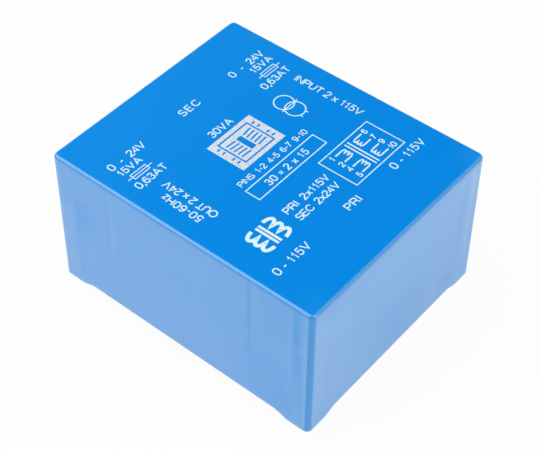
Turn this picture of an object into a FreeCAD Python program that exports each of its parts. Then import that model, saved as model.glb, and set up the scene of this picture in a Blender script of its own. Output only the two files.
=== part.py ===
import FreeCAD
import Part
import math
import os

# Encapsulated low-profile transformer for a circuit board, 30 VA, in millimetres.
# Two wound bobbins sit side by side on the legs of a flat core of stacked steel sheets.
# The wound core hangs upside down in a moulded case, open at the board side, and is
# cast in with resin. Eight round pins leave the resin and go through the board.
# Origin: centre of the pin field, on the board's surface. +Z points up, out of the board.
# +X points to the primary end, where the mains windings come out. -X is the secondary end.

Vector = FreeCAD.Vector
ENDS = (-1, 1)
SIDES = (-1, 1)

# Core: flat U and I sheets, stacked by turns, both windows in line.
leg_width = 13.0
yoke_width = 13.0
window_width = 13.0
window_length = 39.0
sheet_thickness = 0.5
sheet_count = 34

# Bobbins: one on each leg, with two winding chambers and a pin ledge at each end.
leg_clearance = 0.15
tube_wall = 0.9
tube_corner_radius = 1.0
flange_thickness = 1.0
flange_corner_radius = 1.5
bobbin_gap = 0.3
bobbin_end_clearance = 0.15
ledge_thickness = 3.5
ledge_end_gap = 1.0
ledge_side_margin = 3.0
ledge_corner_radius = 0.8

# Windings: enamelled wire, wound flat and wrapped in tape.
winding_margin = 0.5
tape_thickness = 0.2
wire_diameter = 0.5
lead_clearance = 0.25
lead_tail = 2.0

# Pins: turned and tinned, with a thicker root that is pressed into the ledge.
# The shoulder between the two lies at the resin's surface, under the resin that climbs the pin.
pin_diameter = 1.0
pin_root_diameter = 1.2
pin_pitch = 10.0
pin_edge_distance = 4.0
pin_length = 4.0
pin_tip_taper = 0.3
pin_tip_radius = 0.3
solder_radius = 1.05
solder_foot_radius = 0.8
solder_pocket_clearance = 0.3

# Case: a drafted cup. It stands on four feet, the corners of its rim, so that the board can be washed under it.
case_wall = 1.2
case_roof = 1.5
case_draft_deg = 0.4
case_corner_radius = 1.4
case_top_edge_radius = 0.9
cavity_corner_radius = 1.0
cavity_top_radius = 0.5
rim_chamfer = 0.3
foot_height = 1.0
foot_length = 6.0
foot_ramp = 2.0
end_gap = 0.3
side_gap = 1.45
roof_gap = 0.5
bobbin_recess = 2.8

# Locating ribs inside the case: they guide the bobbins' end flanges.
rib_thickness = 1.0
rib_clearance = 0.15
rib_foot_length = 3.0
rib_root_depth = 0.4
rib_length = 20.0
rib_end_slope = 1.0

# Resin: stands a little inside the rim, and creeps along the walls and the pins.
resin_recess = 1.0
meniscus_height = 0.5
meniscus_radius = 0.45
meniscus_lip = 0.15
pin_meniscus_width = 0.6

# Worked out from the sizes above.
core_length = window_length + 2 * yoke_width
core_width = window_width + 2 * leg_width
stack_height = sheet_count * sheet_thickness
leg_centre_y = (window_width + leg_width) / 2

flange_reach = (window_width - bobbin_gap) / 2
bobbin_width = leg_width + 2 * flange_reach
bobbin_height = stack_height + 2 * flange_reach
bobbin_length = window_length - 2 * bobbin_end_clearance
tube_width = leg_width + 2 * (leg_clearance + tube_wall)
tube_height = stack_height + 2 * (leg_clearance + tube_wall)
chamber_length = (bobbin_length - 3 * flange_thickness) / 2
winding_build = flange_reach - leg_clearance - tube_wall - tape_thickness - winding_margin

bobbin_standoff = foot_height + bobbin_recess
case_length = core_length + 2 * (end_gap + case_wall)
case_width = 2 * (leg_centre_y + bobbin_width / 2 + side_gap + case_wall)
case_height = bobbin_standoff + bobbin_height + roof_gap + case_roof
cavity_length = case_length - 2 * case_wall
cavity_width = case_width - 2 * case_wall
cavity_height = case_height - case_roof
draft_slope = math.tan(math.radians(case_draft_deg))
resin_level = foot_height + resin_recess

core_centre_z = bobbin_standoff + bobbin_height / 2
winding_bottom_z = core_centre_z - tube_height / 2 - winding_build
lead_z = winding_bottom_z + wire_diameter
pocket_top_z = lead_z + wire_diameter / 2 + lead_clearance
ledge_top_z = bobbin_standoff + ledge_thickness
ledge_end_x = cavity_length / 2 - ledge_end_gap
pin_row_x = case_length / 2 - pin_edge_distance
pin_rows_y = (pin_pitch, 2 * pin_pitch)
flange_centre_x = (bobbin_length - flange_thickness) / 2


def box(low, high):
    """A block between two opposite corners."""
    size = [b - a for a, b in zip(low, high)]
    return Part.makeBox(*size, Vector(*low))


def rounded_rectangle(length, width, radius, z):
    """Closed outline with four arcs, centred on the Z axis, at height z."""
    half_l, half_w = length / 2, width / 2
    inner_l, inner_w = half_l - radius, half_w - radius
    bow = radius * math.sqrt(0.5)
    edges = []
    for turn in range(4):
        along, across = (half_l, half_w) if turn % 2 == 0 else (half_w, half_l)
        near, far = (inner_l, inner_w) if turn % 2 == 0 else (inner_w, inner_l)
        side = Part.LineSegment(Vector(along, -far, z), Vector(along, far, z))
        corner = Part.Arc(
            Vector(along, far, z),
            Vector(near + bow, far + bow, z),
            Vector(near, across, z),
        )
        for curve in (side, corner):
            edge = curve.toShape()
            edge.rotate(Vector(0, 0, 0), Vector(0, 0, 1), 90 * turn)
            edges.append(edge)
    return Part.Wire(edges)


def drafted_outline(length, width, radius, z):
    """Outline at height z of a form that narrows upwards by the mould's draft.

    length and width are those at the board's surface, where z is 0.
    """
    inset = z * draft_slope
    return rounded_rectangle(length - 2 * inset, width - 2 * inset, radius, z)


def drafted_block(length, width, radius, z_low, z_high):
    """Block with rounded corners between two heights, with the mould's draft."""
    outlines = [drafted_outline(length, width, radius, z) for z in (z_low, z_high)]
    return Part.makeLoft(outlines, True, True)


def edges_at_height(shape, z):
    """Edges that lie flat at height z."""
    slack = 1e-4
    return [e for e in shape.Edges if abs(e.BoundBox.ZMin - z) < slack and abs(e.BoundBox.ZMax - z) < slack]


def bar_along_x(x_start, x_end, centre_y, width, height, radius):
    """Rounded rectangular bar about a bobbin's own axis, at the core's height."""
    face = Part.Face(rounded_rectangle(height, width, radius, 0))
    face.rotate(Vector(0, 0, 0), Vector(0, 1, 0), 90)
    face.translate(Vector(x_start, centre_y, core_centre_z))
    return face.extrude(Vector(x_end - x_start, 0, 0))


# Core

def u_sheet(yoke_end, z):
    """One U sheet: a yoke at one end of the core and two legs, open at the other end."""
    yoke_x = yoke_end * core_length / 2
    open_x = -yoke_end * window_length / 2
    window_x = yoke_end * window_length / 2
    corners = [
        (yoke_x, -core_width / 2),
        (open_x, -core_width / 2),
        (open_x, -window_width / 2),
        (window_x, -window_width / 2),
        (window_x, window_width / 2),
        (open_x, window_width / 2),
        (open_x, core_width / 2),
        (yoke_x, core_width / 2),
    ]
    outline = Part.makePolygon([Vector(x, y, z) for x, y in corners + corners[:1]])
    return Part.Face(outline).extrude(Vector(0, 0, sheet_thickness))


def i_sheet(end, z):
    """One I sheet: the plain strip that closes a U sheet's open end."""
    x_inner, x_outer = sorted((end * window_length / 2, end * core_length / 2))
    return box((x_inner, -core_width / 2, z), (x_outer, core_width / 2, z + sheet_thickness))


def sheet_levels():
    """Height of each sheet's underside, with the end that its yoke is at: they swap ends by turns."""
    bottom = core_centre_z - stack_height / 2
    return [(bottom + k * sheet_thickness, ENDS[k % 2]) for k in range(sheet_count)]


def u_laminations():
    return Part.makeCompound([u_sheet(end, z) for z, end in sheet_levels()])


def i_laminations():
    return Part.makeCompound([i_sheet(-end, z) for z, end in sheet_levels()])


def core_envelope():
    """Outline of the whole stack, for casting in."""
    bottom = core_centre_z - stack_height / 2
    top = bottom + stack_height
    block = box((-core_length / 2, -core_width / 2, bottom), (core_length / 2, core_width / 2, top))
    window = box((-window_length / 2, -window_width / 2, bottom), (window_length / 2, window_width / 2, top))
    return block.cut(window)


# Bobbins

def pin_ledge(end, side):
    """Block under the yoke that carries two pins, with a pocket for each solder joint."""
    x_flange = end * (bobbin_length / 2 - flange_thickness)
    x_tip = end * ledge_end_x
    y_near = side * (pin_rows_y[0] - ledge_side_margin)
    y_far = side * (pin_rows_y[1] + ledge_side_margin)
    low = (min(x_flange, x_tip), min(y_near, y_far), bobbin_standoff)
    high = (max(x_flange, x_tip), max(y_near, y_far), ledge_top_z)
    ledge = box(low, high)
    corners = [
        e
        for e in ledge.Edges
        if abs(e.BoundBox.XMin - x_tip) < 1e-4 and abs(e.BoundBox.XMax - x_tip) < 1e-4 and e.BoundBox.YLength < 1e-4
    ]
    return ledge.makeFillet(ledge_corner_radius, corners)


def pin_holes(end, side):
    """What is cut out of a ledge and its flange: holes, solder pockets and lead channels."""
    cuts = []
    for row_y in pin_rows_y:
        x, y = end * pin_row_x, side * row_y
        hole = Part.makeCylinder(pin_root_diameter / 2, ledge_thickness, Vector(x, y, bobbin_standoff))
        pocket_radius = solder_radius + solder_pocket_clearance
        pocket_depth = pocket_top_z - bobbin_standoff
        pocket = Part.makeCylinder(pocket_radius, pocket_depth, Vector(x, y, bobbin_standoff))
        half = wire_diameter / 2 + lead_clearance
        x_inside = end * (bobbin_length / 2 - flange_thickness)
        channel = box(
            (min(x, x_inside), y - half, bobbin_standoff),
            (max(x, x_inside), y + half, pocket_top_z),
        )
        cuts += [hole, pocket, channel]
    return cuts


def bobbin(side):
    """Moulded coil former: a square tube, three flanges and two pin ledges, in one piece."""
    centre_y = side * leg_centre_y
    half = bobbin_length / 2
    body = bar_along_x(-half, half, centre_y, tube_width, tube_height, tube_corner_radius)
    for centre_x in (-flange_centre_x, 0, flange_centre_x):
        body = body.fuse(
            bar_along_x(
                centre_x - flange_thickness / 2,
                centre_x + flange_thickness / 2,
                centre_y,
                bobbin_width,
                bobbin_height,
                flange_corner_radius,
            )
        )
    for end in ENDS:
        body = body.fuse(pin_ledge(end, side))
    bore = box(
        (-half, centre_y - leg_width / 2 - leg_clearance, core_centre_z - stack_height / 2 - leg_clearance),
        (half, centre_y + leg_width / 2 + leg_clearance, core_centre_z + stack_height / 2 + leg_clearance),
    )
    body = body.cut([bore] + [c for end in ENDS for c in pin_holes(end, side)])
    return body.removeSplitter()


# Windings

def chamber_span(end):
    """Low and high x of the winding chamber at that end."""
    inner = end * flange_thickness / 2
    outer = end * (flange_thickness / 2 + chamber_length)
    return min(inner, outer), max(inner, outer)


def wrap(end, side, inner_build, outer_build):
    """Ring of one thickness laid round a bobbin's tube, filling a chamber from flange to flange."""
    x_low, x_high = chamber_span(end)
    rings = [
        bar_along_x(
            x_low,
            x_high,
            side * leg_centre_y,
            tube_width + 2 * build,
            tube_height + 2 * build,
            tube_corner_radius + build,
        )
        for build in (outer_build, inner_build)
    ]
    return rings[0].cut(rings[1])


def lead(end, side, row_y):
    """Straight end of the winding's wire, through the flange and along the ledge to its pin."""
    x_start = end * (bobbin_length / 2 - flange_thickness - lead_tail)
    x_stop = end * (pin_row_x - (pin_root_diameter / 2 + solder_foot_radius) / 2)
    length = abs(x_stop - x_start)
    return Part.makeCylinder(wire_diameter / 2, length, Vector(x_start, side * row_y, lead_z), Vector(end, 0, 0))


def winding(end, side):
    """One coil with both ends of its wire."""
    coil = wrap(end, side, 0, winding_build)
    for row_y in pin_rows_y:
        coil = coil.fuse(lead(end, side, row_y))
    return coil


def tape(end, side):
    return wrap(end, side, winding_build, winding_build + tape_thickness)


# Pins

def pin(end, side, row_y):
    """Round pin: tapered tip below the board, free length, shoulder, and root up to the ledge's top."""
    radius = pin_diameter / 2
    root_radius = pin_root_diameter / 2
    profile = Part.makePolygon(
        [
            Vector(0, 0, -pin_length),
            Vector(pin_tip_radius, 0, -pin_length),
            Vector(radius, 0, -pin_length + pin_tip_taper),
            Vector(radius, 0, resin_level),
            Vector(root_radius, 0, resin_level),
            Vector(root_radius, 0, ledge_top_z),
            Vector(0, 0, ledge_top_z),
            Vector(0, 0, -pin_length),
        ]
    )
    body = Part.Face(profile).revolve(Vector(0, 0, 0), Vector(0, 0, 1), 360)
    body.translate(Vector(end * pin_row_x, side * row_y, 0))
    return body


def solder_joint(end, side, row_y):
    """Cone of solder between a pin and its lead, in the ledge's pocket."""
    centre = Vector(end * pin_row_x, side * row_y, bobbin_standoff)
    height = pocket_top_z - bobbin_standoff
    cone = Part.makeCone(solder_foot_radius, solder_radius, height, centre)
    return cone.cut([pin(end, side, row_y), lead(end, side, row_y)])


# Case

def rib(end, side):
    """L-shaped rib: down the long wall beside a flange, and a foot under the roof that the flange rests on."""
    y_face = leg_centre_y + bobbin_width / 2 + rib_clearance
    y_foot = y_face - rib_foot_length
    z_foot = bobbin_standoff + bobbin_height
    z_low = cavity_height - rib_length
    y_root = cavity_width / 2 - z_low * draft_slope + rib_root_depth
    z_root = cavity_height + rib_root_depth
    corners = [
        (y_root, z_low),
        (y_root, z_root),
        (y_foot, z_root),
        (y_foot, z_foot),
        (y_face, z_foot),
        (y_face, z_low + rib_end_slope),
    ]
    x = end * flange_centre_x - rib_thickness / 2
    outline = Part.makePolygon([Vector(x, side * y, z) for y, z in corners + corners[:1]])
    return Part.Face(outline).extrude(Vector(rib_thickness, 0, 0))


def cavity():
    """The space inside the case, without its ribs."""
    block = drafted_block(cavity_length, cavity_width, cavity_corner_radius, 0, cavity_height)
    return block.makeFillet(cavity_top_radius, edges_at_height(block, cavity_height))


def mouth():
    """The opening at the rim: chamfered there, and straight between the feet."""
    wide = (cavity_length + 2 * rim_chamfer, cavity_width + 2 * rim_chamfer, cavity_corner_radius + rim_chamfer)
    outlines = [drafted_outline(*wide, z) for z in (0, foot_height)]
    outlines.append(drafted_outline(cavity_length, cavity_width, cavity_corner_radius, foot_height + rim_chamfer))
    return Part.makeLoft(outlines, True, True)


def foot_gap(along, across, turn):
    """What is taken off the rim of two facing walls between their feet, with a ramp at each end."""
    half_low = along / 2 - foot_length
    half_high = half_low - foot_ramp
    corners = [(-half_low, 0), (half_low, 0), (half_high, foot_height), (-half_high, foot_height)]
    outline = Part.makePolygon([Vector(x, -across / 2, z) for x, z in corners + corners[:1]])
    gap = Part.Face(outline).extrude(Vector(0, across, 0))
    gap.rotate(Vector(0, 0, 0), Vector(0, 0, 1), turn)
    return gap


def case():
    """Moulded cup: drafted walls, a rounded top edge, four corner feet and four ribs inside."""
    block = drafted_block(case_length, case_width, case_corner_radius, 0, case_height)
    block = block.makeFillet(case_top_edge_radius, edges_at_height(block, case_height))
    gaps = [foot_gap(case_length, case_width, 0), foot_gap(case_width, case_length, 90)]
    cup = block.cut([cavity(), mouth()] + gaps)
    return cup.fuse([rib(end, side) for end in ENDS for side in SIDES]).removeSplitter()


# Resin

def pin_meniscus(end, side, row_y):
    """Where the resin climbs a pin: a small cone with a hollow flank."""
    radius = pin_diameter / 2
    reach = radius + pin_meniscus_width
    level = resin_level
    tip = level - meniscus_height
    bend = math.sqrt(0.5)
    flank = Part.Arc(
        Vector(radius, 0, tip),
        Vector(reach - pin_meniscus_width * bend, 0, tip + meniscus_height * bend),
        Vector(reach, 0, level),
    ).toShape()
    rest = Part.makePolygon([Vector(reach, 0, level), Vector(0, 0, level), Vector(0, 0, tip), Vector(radius, 0, tip)])
    body = Part.Face(Part.Wire([flank] + rest.Edges)).revolve(Vector(0, 0, 0), Vector(0, 0, 1), 360)
    body.translate(Vector(end * pin_row_x, side * row_y, 0))
    return body


def air_below_resin():
    """The shallow space between the board and the cast surface, less what creeps along the walls and pins."""
    dish = drafted_block(
        cavity_length - 2 * meniscus_lip, cavity_width - 2 * meniscus_lip, cavity_corner_radius, 0, resin_level
    )
    dish = dish.makeFillet(meniscus_radius, edges_at_height(dish, resin_level))
    slab = drafted_block(cavity_length, cavity_width, cavity_corner_radius, 0, resin_level - meniscus_height)
    air = slab.fuse(dish)
    climbs = [pin_meniscus(e, s, y) for e in ENDS for s in SIDES for y in pin_rows_y]
    return air.cut(climbs)


def potting_resin(cast_in):
    """All of the cavity above the cast surface that no other piece fills."""
    ribs = [rib(end, side) for end in ENDS for side in SIDES]
    filled = cavity().cut(air_below_resin())
    return filled.cut(ribs + [core_envelope()] + cast_in)


# Every piece under its own name

def named_pieces():
    side_names = {-1: "front", 1: "rear"}
    end_names = {-1: "secondary", 1: "primary"}
    pieces = {"u_laminations": u_laminations(), "i_laminations": i_laminations()}
    inner = {}
    joints = []
    for side in SIDES:
        inner["bobbin_" + side_names[side]] = bobbin(side)
        for end in ENDS:
            inner[f"{end_names[end]}_winding_{side_names[side]}"] = winding(end, side)
            inner[f"{end_names[end]}_tape_{side_names[side]}"] = tape(end, side)
    for end in ENDS:
        places = [(side, row_y) for side in SIDES for row_y in pin_rows_y]
        places.sort(key=lambda place: place[0] * place[1])
        for number, (side, row_y) in enumerate(places, 1):
            inner[f"{end_names[end]}_pin_{number}"] = pin(end, side, row_y)
            joints.append(solder_joint(end, side, row_y))
    pieces.update(inner)
    pieces["solder_joints"] = Part.makeCompound(joints)
    pieces["case"] = case()
    pieces["potting_resin"] = potting_resin(list(inner.values()) + joints)
    return pieces


os.makedirs("parts", exist_ok=True)
for name, shape in named_pieces().items():
    shape.exportStep(f"parts/{name}.step")
    print(f"{name:26s} solids {len(shape.Solids):3d}  valid {shape.isValid()}  volume {shape.Volume:10.2f}")
print(f"case {case_length:.2f} x {case_width:.2f} x {case_height:.2f}, pin field {2 * pin_row_x:.2f} x {4 * pin_pitch:.2f}")
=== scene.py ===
import bpy
import numpy as np
from mathutils import Matrix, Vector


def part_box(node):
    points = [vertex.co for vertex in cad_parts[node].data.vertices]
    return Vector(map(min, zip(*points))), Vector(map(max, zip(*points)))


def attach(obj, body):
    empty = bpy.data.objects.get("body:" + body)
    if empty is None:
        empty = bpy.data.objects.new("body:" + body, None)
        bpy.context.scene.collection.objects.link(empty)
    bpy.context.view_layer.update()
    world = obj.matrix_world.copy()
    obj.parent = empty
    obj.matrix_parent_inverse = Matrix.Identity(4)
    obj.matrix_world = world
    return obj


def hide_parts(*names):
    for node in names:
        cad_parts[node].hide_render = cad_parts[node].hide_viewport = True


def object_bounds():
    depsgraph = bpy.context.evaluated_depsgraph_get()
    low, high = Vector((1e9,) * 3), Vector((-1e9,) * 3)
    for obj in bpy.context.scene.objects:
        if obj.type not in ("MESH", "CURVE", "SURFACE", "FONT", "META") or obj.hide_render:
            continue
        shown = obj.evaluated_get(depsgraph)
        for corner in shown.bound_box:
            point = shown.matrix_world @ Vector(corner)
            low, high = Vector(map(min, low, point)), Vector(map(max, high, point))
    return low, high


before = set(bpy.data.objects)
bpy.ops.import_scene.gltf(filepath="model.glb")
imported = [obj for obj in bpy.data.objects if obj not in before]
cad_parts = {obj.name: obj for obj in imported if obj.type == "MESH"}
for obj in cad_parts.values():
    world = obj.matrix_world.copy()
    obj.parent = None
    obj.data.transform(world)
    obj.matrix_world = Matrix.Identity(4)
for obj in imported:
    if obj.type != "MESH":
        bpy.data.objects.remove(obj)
cad_box = [list(corner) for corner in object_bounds()]
MM = 0.001


# The moulded case
# A cup of light blue thermoplastic, injection moulded: 0.4 degrees of draft on each wall, rounded
# edges, and faint sink marks outside the ribs that hold the bobbins. It stands open side down, on
# four feet that are the corners of its rim.

case_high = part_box("case")[1]
CASE_HALF = np.array([case_high.x, case_high.y])
CASE_TOP = case_high.z
DRAFT = np.tan(np.radians(0.4))
CASE_WALL = 1.2 * MM
CASE_ROOF = 1.5 * MM
CORNER_RADIUS = 1.4 * MM
TOP_EDGE_RADIUS = 0.9 * MM
CAVITY_CORNER_RADIUS = 1.0 * MM
CAVITY_TOP_RADIUS = 0.5 * MM
RIM_CHAMFER = 0.3 * MM
RIM_EDGE_RADIUS = 0.12 * MM
FOOT_HEIGHT = 1.0 * MM
FOOT_LENGTH = 5.0 * MM
FOOT_RAMP = 4.0 * MM
WALL_BOW = 0.05 * MM
ROOF_BOW = 0.06 * MM
MOUTH_STEP = 0.02 * MM

# Rings of points over the roof, round its edge and down the wall, and how far the points of a side
# crowd towards its ends, from 0 to 1.
ROOF_RINGS = 22
EDGE_RINGS = 11
WALL_RINGS = 45
SIDE_CROWDING = 0.35

RIB_X = 18.85 * MM
RIB_THICKNESS = 1.0 * MM
RIB_REACH_Y = 26.40 * MM
RIB_FOOT_LENGTH = 3.0 * MM
RIB_FOOT_HEIGHT = 0.5 * MM
RIB_LENGTH = 20.0 * MM
RIB_END_SLOPE = 1.0 * MM
RIB_ROOT = 0.4 * MM

# Sink marks: the wall's direction, then in millimetres the place along it, highest and lowest point,
# half width and depth.
SINKS = [
    ((0, -1), 18.7, 34.0, 12.5, 0.55, 0.035),
    ((0, -1), -17.9, 34.0, 12.5, 0.55, 0.030),
    ((0, 1), 18.7, 34.0, 12.5, 0.55, 0.035),
    ((0, 1), -17.9, 34.0, 12.5, 0.55, 0.030),
    ((0, -1), 31.2, 31.5, 14.0, 0.9, 0.030),
    ((0, -1), -25.5, 25.5, 15.5, 1.6, 0.030),
    ((1, 0), 21.0, 33.0, 10.0, 0.9, 0.030),
    ((-1, 0), -21.0, 33.0, 10.0, 0.9, 0.030),
]


def outline(side_steps, arc_steps):
    """Rounded rectangle as two arrays, a corner's centre in signs and the outward unit normal.

    A point on it is centre * (half size - radius) + normal * radius. One quarter is a side, on which
    the centre slides from -1 to 1, and an arc, on which the normal turns by 90 degrees. The other
    three are that quarter turned by right angles.
    """
    slide = -np.cos(np.linspace(0, np.pi, side_steps, endpoint=False))
    even = np.linspace(-1, 1, side_steps, endpoint=False)
    slide = SIDE_CROWDING * slide + (1 - SIDE_CROWDING) * even
    turn = np.linspace(0, np.pi / 2, arc_steps, endpoint=False)
    arc = np.stack([np.cos(turn), np.sin(turn)], 1)
    centre = np.concatenate([np.stack([np.ones(side_steps), slide], 1), np.ones((arc_steps, 2))])
    normal = np.concatenate([np.tile([1.0, 0.0], (side_steps, 1)), arc])
    quarters = [(centre, normal)]
    for _ in range(3):
        quarters.append(tuple(np.stack([-a[:, 1], a[:, 0]], 1) for a in quarters[-1]))
    return tuple(np.concatenate(parts) for parts in zip(*quarters))


def rings(half_sizes, radii, heights, centre, normal):
    """Grid of points: one rounded rectangle for each half size, corner radius and height."""
    radius = np.asarray(radii)[..., None]
    flat = centre * (np.asarray(half_sizes) - radius) + normal * radius
    return np.concatenate([flat, np.asarray(heights)[..., None]], 2)


def smooth_step(low, high, x):
    """0 below low, 1 above high, and 3t^2 - 2t^3 between them."""
    t = np.clip((x - low) / (high - low), 0, 1)
    return t * t * (3 - 2 * t)


def grid_faces(rows, columns, offset=0):
    """Quads of a grid that closes on itself along its columns."""
    row, column = np.meshgrid(np.arange(rows - 1), np.arange(columns), indexing="ij")
    after = (column + 1) % columns
    a = row * columns + column
    b = row * columns + after
    return np.stack([a, a + columns, b + columns, b], 2).reshape(-1, 4) + offset


def mesh_object(name, points, faces, smooth=True):
    """Object at the origin from an array of points and a list of faces."""
    mesh = bpy.data.meshes.new(name)
    places = np.asarray(points, float).reshape(-1, 3).tolist()
    mesh.from_pydata(places, [], [list(map(int, face)) for face in faces])
    mesh.polygons.foreach_set("use_smooth", np.full(len(mesh.polygons), smooth))
    mesh.update()
    piece = bpy.data.objects.new(name, mesh)
    bpy.context.scene.collection.objects.link(piece)
    return piece


def rim_height(centre, normal):
    """Height of the rim above the board, at each place of the outline.

    It is 0 on a foot, which reaches FOOT_LENGTH from the corner, and a smooth step up beside it.
    """
    on_long_wall = np.abs(normal[:, 1]) > np.abs(normal[:, 0])
    share = np.where(on_long_wall, np.abs(centre[:, 0]), np.abs(centre[:, 1]))
    half = np.where(on_long_wall, CASE_HALF[0], CASE_HALF[1])
    from_corner = half - share * (half - CORNER_RADIUS)
    return FOOT_HEIGHT * smooth_step(FOOT_LENGTH, FOOT_LENGTH + FOOT_RAMP, from_corner)


def sink_in(skin, normal, wall_top, roof_half):
    """Moves the outer skin inwards, in place.

    A wall bows by WALL_BOW * (1 - share^2), where share is how far a point is from the wall's middle,
    and fades out at the rim and under the roof. A sink mark is depth * exp(-(across / width)^2). The
    roof bows by ROOF_BOW * (1 - share_x^2) * (1 - share_y^2).
    """
    along = skin[..., :2] / CASE_HALF
    x, y, z = skin[..., 0], skin[..., 1], skin[..., 2]
    share = np.abs(along[..., ::-1] * np.abs(normal)).max(2)
    depth = WALL_BOW * (1 - share**2) * smooth_step(0, 8 * MM, z)
    depth = depth * smooth_step(CASE_TOP, CASE_TOP - 12 * MM, z)
    for direction, place, high, low, width, deep in SINKS:
        facing = np.clip(normal @ np.array(direction, float), 0, 1) ** 8
        across = (x if direction[0] == 0 else y) - place * MM
        span = smooth_step(low * MM, (low + 4) * MM, z)
        span = span * smooth_step((high + 0.5) * MM, (high - 2) * MM, z)
        depth = depth + deep * MM * np.exp(-((across / (width * MM)) ** 2)) * span * facing
    upright = smooth_step(CASE_TOP, wall_top, z)
    skin[..., :2] -= normal * (depth * upright)[..., None]
    roof_share = np.clip(np.abs(skin[..., :2]) / roof_half, 0, 1)
    bowl = (1 - roof_share[..., 0] ** 2) * (1 - roof_share[..., 1] ** 2)
    skin[..., 2] -= ROOF_BOW * bowl * smooth_step(wall_top, CASE_TOP, z)


def case_points(side_steps=120, arc_steps=12):
    """The case's skin as rings: the roof from its middle, the outside, the rim, and up the inside.

    Outer wall: half size = board-side size - height * draft. Top edge: a quarter circle of rings, whose
    corner radius shrinks as they go in. Roofs: rings scaled to nothing, by a share of the last one.
    """
    centre, normal = outline(side_steps, arc_steps)
    columns = len(centre)
    rim = rim_height(centre, normal)
    size, radius, height = [], [], []

    def add(half, r, z):
        size.append(np.broadcast_to(half, (columns, 2)))
        radius.append(np.broadcast_to(r, columns))
        height.append(np.broadcast_to(z, columns))

    def drafted(half, z):
        return half - np.broadcast_to(z, columns)[:, None] * DRAFT

    wall_top = CASE_TOP - TOP_EDGE_RADIUS
    top_half = CASE_HALF - wall_top * DRAFT
    roof_half = top_half - TOP_EDGE_RADIUS
    for share in np.linspace(0.02, 0.97, ROOF_RINGS):
        add(roof_half * share, (CORNER_RADIUS - TOP_EDGE_RADIUS) * share, CASE_TOP)
    for turn in np.linspace(0, np.pi / 2, EDGE_RINGS):
        inset = TOP_EDGE_RADIUS * (1 - np.sin(turn))
        add(top_half - inset, CORNER_RADIUS - inset, CASE_TOP - TOP_EDGE_RADIUS * (1 - np.cos(turn)))
    for share in np.linspace(0, 1, WALL_RINGS + 1)[1:]:
        z = wall_top + (rim + RIM_EDGE_RADIUS - wall_top) * share
        add(drafted(CASE_HALF, z), CORNER_RADIUS, z)
    for turn in np.linspace(0, np.pi / 2, 5)[1:]:
        inset = RIM_EDGE_RADIUS * (1 - np.cos(turn))
        z = rim + RIM_EDGE_RADIUS * (1 - np.sin(turn))
        add(drafted(CASE_HALF, z) - inset, CORNER_RADIUS - inset, z)
    cavity_half = CASE_HALF - CASE_WALL
    mouth_half = cavity_half + RIM_CHAMFER
    mouth_top = FOOT_HEIGHT + MOUTH_STEP
    add(drafted(mouth_half, rim), CAVITY_CORNER_RADIUS + RIM_CHAMFER, rim)
    add(drafted(mouth_half, mouth_top), CAVITY_CORNER_RADIUS + RIM_CHAMFER, mouth_top)
    chamfer_top = FOOT_HEIGHT + RIM_CHAMFER
    add(drafted(cavity_half, chamfer_top), CAVITY_CORNER_RADIUS, chamfer_top)
    ceiling = CASE_TOP - CASE_ROOF
    for z in np.linspace(chamfer_top, ceiling - CAVITY_TOP_RADIUS, 8)[1:]:
        add(drafted(cavity_half, z), CAVITY_CORNER_RADIUS, z)
    inner_half = cavity_half - (ceiling - CAVITY_TOP_RADIUS) * DRAFT
    for turn in np.linspace(0, np.pi / 2, 5)[1:]:
        inset = CAVITY_TOP_RADIUS * (1 - np.cos(turn))
        z = ceiling - CAVITY_TOP_RADIUS * (1 - np.sin(turn))
        add(inner_half - inset, CAVITY_CORNER_RADIUS - inset, z)
    roof_inner = inner_half - CAVITY_TOP_RADIUS
    for share in np.linspace(0.9, 0.1, 5):
        add(roof_inner * share, (CAVITY_CORNER_RADIUS - CAVITY_TOP_RADIUS) * share, ceiling)

    points = rings(size, radius, height, centre, normal)
    sink_in(points[: ROOF_RINGS + EDGE_RINGS + WALL_RINGS], normal, wall_top, roof_half)
    return points


def rib_prism(end, side):
    """L-shaped rib inside the case: six corners across the wall, drawn out to the rib's thickness."""
    ceiling = CASE_TOP - CASE_ROOF
    low = ceiling - RIB_LENGTH
    root_y = CASE_HALF[1] - CASE_WALL - low * DRAFT + RIB_ROOT
    corners = np.array(
        [
            (root_y, low),
            (root_y, ceiling + RIB_ROOT),
            (RIB_REACH_Y - RIB_FOOT_LENGTH, ceiling + RIB_ROOT),
            (RIB_REACH_Y - RIB_FOOT_LENGTH, ceiling - RIB_FOOT_HEIGHT),
            (RIB_REACH_Y, ceiling - RIB_FOOT_HEIGHT),
            (RIB_REACH_Y, low + RIB_END_SLOPE),
        ]
    )
    count = len(corners)
    near_x = np.full(count, end * RIB_X - RIB_THICKNESS / 2)
    near = np.column_stack([near_x, side * corners[:, 0], corners[:, 1]])
    far = near + [RIB_THICKNESS, 0, 0]
    loop = np.arange(count)
    walls = np.stack([loop, (loop + 1) % count, (loop + 1) % count + count, loop + count], 1)
    faces = [list(wall) for wall in walls] + [list(loop[::-1]), list(loop + count)]
    if side > 0:
        faces = [face[::-1] for face in faces]
    return np.concatenate([near, far]), faces


def build_case():
    """The skin's rings, closed at the middle of the roof and of the ceiling, and the four ribs inside."""
    grid = case_points()
    rows, columns = grid.shape[:2]
    points = [grid.reshape(-1, 3)]
    faces = grid_faces(rows, columns).tolist()
    points.append(np.array([grid[0].mean(0), grid[-1].mean(0)]))
    top_pole = rows * columns
    for column in range(columns):
        after = (column + 1) % columns
        faces.append([top_pole, column, after])
        faces.append([top_pole + 1, (rows - 1) * columns + after, (rows - 1) * columns + column])
    offset = top_pole + 2
    for end in (-1, 1):
        for side in (-1, 1):
            rib_points, rib_faces = rib_prism(end, side)
            points.append(rib_points)
            faces += [[i + offset for i in face] for face in rib_faces]
            offset += len(rib_points)
    return mesh_object("case_moulding", np.concatenate(points), faces)


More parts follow.
